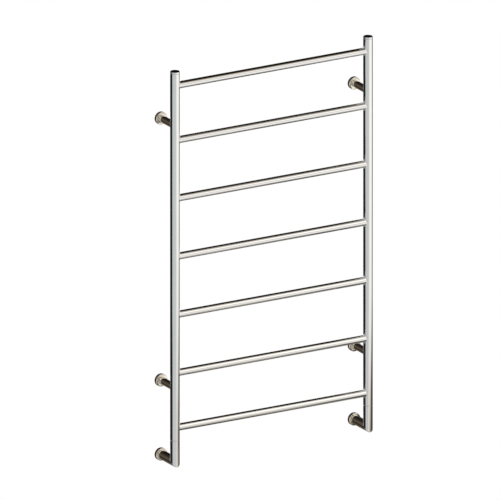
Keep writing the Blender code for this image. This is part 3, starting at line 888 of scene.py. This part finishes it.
def back_dark(graph, x, z):
    """The dark brown back, darker to the right and upwards, with a black band low on the left."""
    lean = graph.math("MULTIPLY_ADD", z, 0.225, graph.share(x))
    back = graph.ramp(lean, [
        (0.20, (0.080, 0.063, 0.046)), (0.35, (0.096, 0.076, 0.055)), (0.50, (0.074, 0.058, 0.043)),
        (0.65, (0.042, 0.033, 0.025)), (0.73, (0.024, 0.019, 0.015)), (0.80, (0.005, 0.004, 0.003)),
    ])
    back = graph.mix(graph.step(z, 0.20, 0.50, 0.0, 0.65), back, colour(0.002, 0.002, 0.002))
    band = graph.between(z, -0.50, -0.36, -0.27, -0.13)
    shade = graph.product(band, graph.step(x, 0.0, -0.3, 0.0, 0.85))
    return graph.mix(shade, back, colour(0.004, 0.004, 0.004))


def rear_light(graph, x, y, z, height):
    """How far the pale light behind the rack covers each direction, and its colour. It lights the views from
    behind, and leaves out the directions that the tubes mirror when they are seen from the front."""
    behind = graph.step(y, 0.86, 0.90)
    rear_left = graph.product(graph.step(y, 0.78, 0.70), graph.step(x, 0.42, 0.32))
    rear_right = graph.step(x, 0.54, 0.62)
    sides = graph.largest(behind, rear_left, rear_right)
    above, below = graph.step(z, -0.300, -0.270), graph.step(z, -0.330, -0.345, 0.0, 0.70)
    cover_up = graph.product(sides, graph.largest(above, below))
    glow = graph.ramp(height, [
        (0.0, (0.50, 0.49, 0.47)), (0.45, (0.62, 0.61, 0.59)), (0.60, (0.74, 0.735, 0.72)),
        (1.0, (0.80, 0.80, 0.79)),
    ])
    deep = graph.largest(graph.step(y, 0.25, 0.60, 0.30, 1.0), graph.step(z, 0.55, 0.85, 0.0, 0.85))
    return cover_up, graph.dimmed(glow, deep)


def studio_world():
    """White to the camera. In the steel: a wide bright front, a dark back and a pale light for the rear. The
    front ends earlier to the right and upwards, where it also gets a wider edge."""
    world = bpy.data.worlds.new("studio")
    bpy.context.scene.world = world
    world.use_nodes = True
    graph = Graph(world.node_tree)
    x, y, z = graph.split(graph.add("ShaderNodeTexCoord").outputs["Generated"])
    height = graph.share(z)
    upward, rightward = graph.largest(z, 0.0), graph.largest(x, 0.0)
    edge = graph.total(0.07, graph.product(rightward, -0.06), graph.product(upward, -0.3))
    width = graph.math("MULTIPLY_ADD", upward, 0.2, 0.05)
    front = graph.fall(y, graph.math("SUBTRACT", edge, width), graph.total(edge, width))
    rear, rear_glow = rear_light(graph, x, y, z, height)
    back = graph.mix(rear, back_dark(graph, x, z), rear_glow)
    reflected = graph.mix(front, back, front_light(graph, x, y, z, height))
    scene_light = graph.add("ShaderNodeBackground", {0: reflected, 1: 1.25})
    white = graph.add("ShaderNodeBackground", {0: WHITE, 1: 1.0})
    seen = graph.add("ShaderNodeLightPath").outputs["Is Camera Ray"]
    mixed = graph.add("ShaderNodeMixShader", {0: seen, 1: scene_light.outputs[0], 2: white.outputs[0]})
    graph.add("ShaderNodeOutputWorld", {0: mixed.outputs[0]})


def add_card(name, corners, place, paint):
    """A flat glowing card of the studio. `paint` gives its colour and how far that covers it, from the
    card's own x, y and z."""
    data = bpy.data.meshes.new(name)
    data.from_pydata(corners, [], [(0, 1, 2, 3)])
    card = bpy.data.objects.new(name, data)
    card.location = place
    bpy.context.scene.collection.objects.link(card)
    made, graph = material(f"{name}_paint")
    shade, cover_up = paint(graph, *graph.split(graph.add("ShaderNodeTexCoord").outputs["Object"]))
    glow = graph.add("ShaderNodeEmission", {0: shade, 1: 1.0})
    clear = graph.add("ShaderNodeBsdfTransparent")
    mixed = graph.add("ShaderNodeMixShader", {0: cover_up, 1: clear.outputs[0], 2: glow.outputs[0]})
    graph.add("ShaderNodeOutputMaterial", {0: mixed.outputs[0]})
    data.materials.append(made)
    card.visible_diffuse = False
    card.visible_shadow = False
    return card


def flat_corners(left, right, front, back):
    """A level rectangle from its sides' x and y."""
    return [(left, front, 0), (right, front, 0), (right, back, 0), (left, back, 0)]


def glossy_only(card):
    """The card shows in reflections only."""
    card.visible_camera = False
    card.visible_transmission = False
    card.visible_volume_scatter = False


def table_paint(graph, x, y, z):
    """Dark near the rack, bright further out in front, with a dark patch under the side card and a bright
    one in front on the left."""
    level = graph.ramp(graph.product(graph.distance(x, y, 0.5), 0.5), [
        (0.06, (0.10, 0.092, 0.080)), (0.125, (0.20, 0.183, 0.160)), (0.175, (0.36, 0.333, 0.293)),
        (0.21, (0.50, 0.468, 0.418)), (0.25, (0.56, 0.529, 0.476)), (0.40, (0.61, 0.579, 0.530)),
        (0.50, (0.69, 0.664, 0.621)), (0.60, (0.86, 0.838, 0.800)), (0.72, (1.0, 0.985, 0.96)),
        (0.90, (1.05, 1.045, 1.03)),
    ])
    beside = graph.product(graph.step(y, -1.8, -0.6), graph.step(x, 0.4, 1.2))
    outward = graph.math("MULTIPLY_ADD", beside, -0.42, graph.step(x, 0.0, 1.8, 0.92, 1.10))
    level = graph.dimmed(level, outward)
    below_card = graph.product(
        graph.between(y, -0.60, -0.45, -0.20, -0.14), graph.between(x, 0.28, 0.46, 0.66, 0.76),
    )
    level = graph.mix(below_card, level, CARD_BROWN)
    sheen = graph.product(graph.between(y, -1.5, -1.1, -0.75, -0.55), graph.fall(x, 0.0, 0.35))
    level = graph.mix(sheen, level, colour(0.90, 0.86, 0.79))
    right = graph.step(x, -0.5, -0.1)
    level = graph.mix(right, colour(0.05, 0.047, 0.042), level)
    near_left = graph.product(graph.step(y, -0.25, -0.05), graph.step(x, -2.6, -1.8))
    cover_up = graph.product(graph.largest(right, near_left), graph.fall(y, 0.05, 0.35))
    return level, cover_up


def ceiling_paint(graph, x, y, z):
    """Dark right overhead, bright further out in front and a little brighter to the right."""
    level = graph.ramp(graph.product(y, -0.5), [
        (0.05, 0.01), (0.145, 0.08), (0.20, 0.30), (0.26, 0.48), (0.315, 0.59), (0.44, 0.61), (0.50, 0.66),
        (0.62, 0.97),
    ])
    level = graph.product(level, graph.step(x, 0.5, 1.0, 1.0, 1.22))
    return graph.warmed(colour(1.22, 1.19, 1.15), level), graph.between(y, -2.3, -1.7, 0.02, 0.14)


def side_card_paint(graph, x, y, z):
    """Dark, with a soft sloping top."""
    top = graph.math("MULTIPLY_ADD", y, 0.9, 0.318)
    return CARD_BROWN, graph.fall(graph.math("SUBTRACT", z, top), -0.09, 0.09)


def floor_paint(graph, x, y, z):
    """White from above, clear from below."""
    under = graph.add("ShaderNodeNewGeometry").outputs["Backfacing"]
    return WHITE, graph.math("SUBTRACT", 1.0, under)


def add_studio_cards():
    """A table, ceiling and side card that only show in the steel, and a pale floor that the camera sees."""
    table_height, ceiling_height, floor_height = LOWEST.z - 0.283, HIGHEST.z + 0.55, LOWEST.z - 0.35
    side_card_x, side_corners = 0.58, [(0, -1.0, -0.3), (0, -1.0, 0.6), (0, 0.6, 0.6), (0, 0.6, -0.3)]
    glossy_only(add_card("table", flat_corners(-3, 6, -7, 0.4), (0, 0, table_height), table_paint))
    glossy_only(add_card("ceiling", flat_corners(-4, 4, -2.4, 0.2), (0, 0, ceiling_height), ceiling_paint))
    glossy_only(add_card("side_card", side_corners, (side_card_x, 0, 0), side_card_paint))
    floor = add_card("floor", flat_corners(-12, 12, -12, 12), (0, 0, floor_height), floor_paint)
    floor.visible_glossy = False


def add_camera():
    """A camera without perspective, which looks at a point near the rack's middle."""
    azimuth, elevation, distance = math.radians(-30), math.radians(18.36), 4
    target = Vector((-0.0644, POST_AXES["left"].y, 0.5427))
    data = bpy.data.cameras.new("camera")
    data.type = "ORTHO"
    data.ortho_scale = 1.30095
    data.clip_end = 60
    camera = bpy.data.objects.new("camera", data)
    level = Vector((math.sin(azimuth), -math.cos(azimuth), 0))
    back = level * math.cos(elevation) + Z * math.sin(elevation)
    camera.location = target + back * distance
    camera.rotation_euler = (math.radians(90) - elevation, 0, azimuth)
    bpy.context.scene.collection.objects.link(camera)
    bpy.context.scene.camera = camera


def main():
    add_posts()
    add_caps()
    add_rungs()
    add_arms()
    add_elbows()
    add_arm_fixings()
    add_leg_fixings()
    dress_cad_nodes()
    studio_world()
    add_studio_cards()
    add_camera()
    bpy.context.scene.view_settings.view_transform = "Standard"


main()
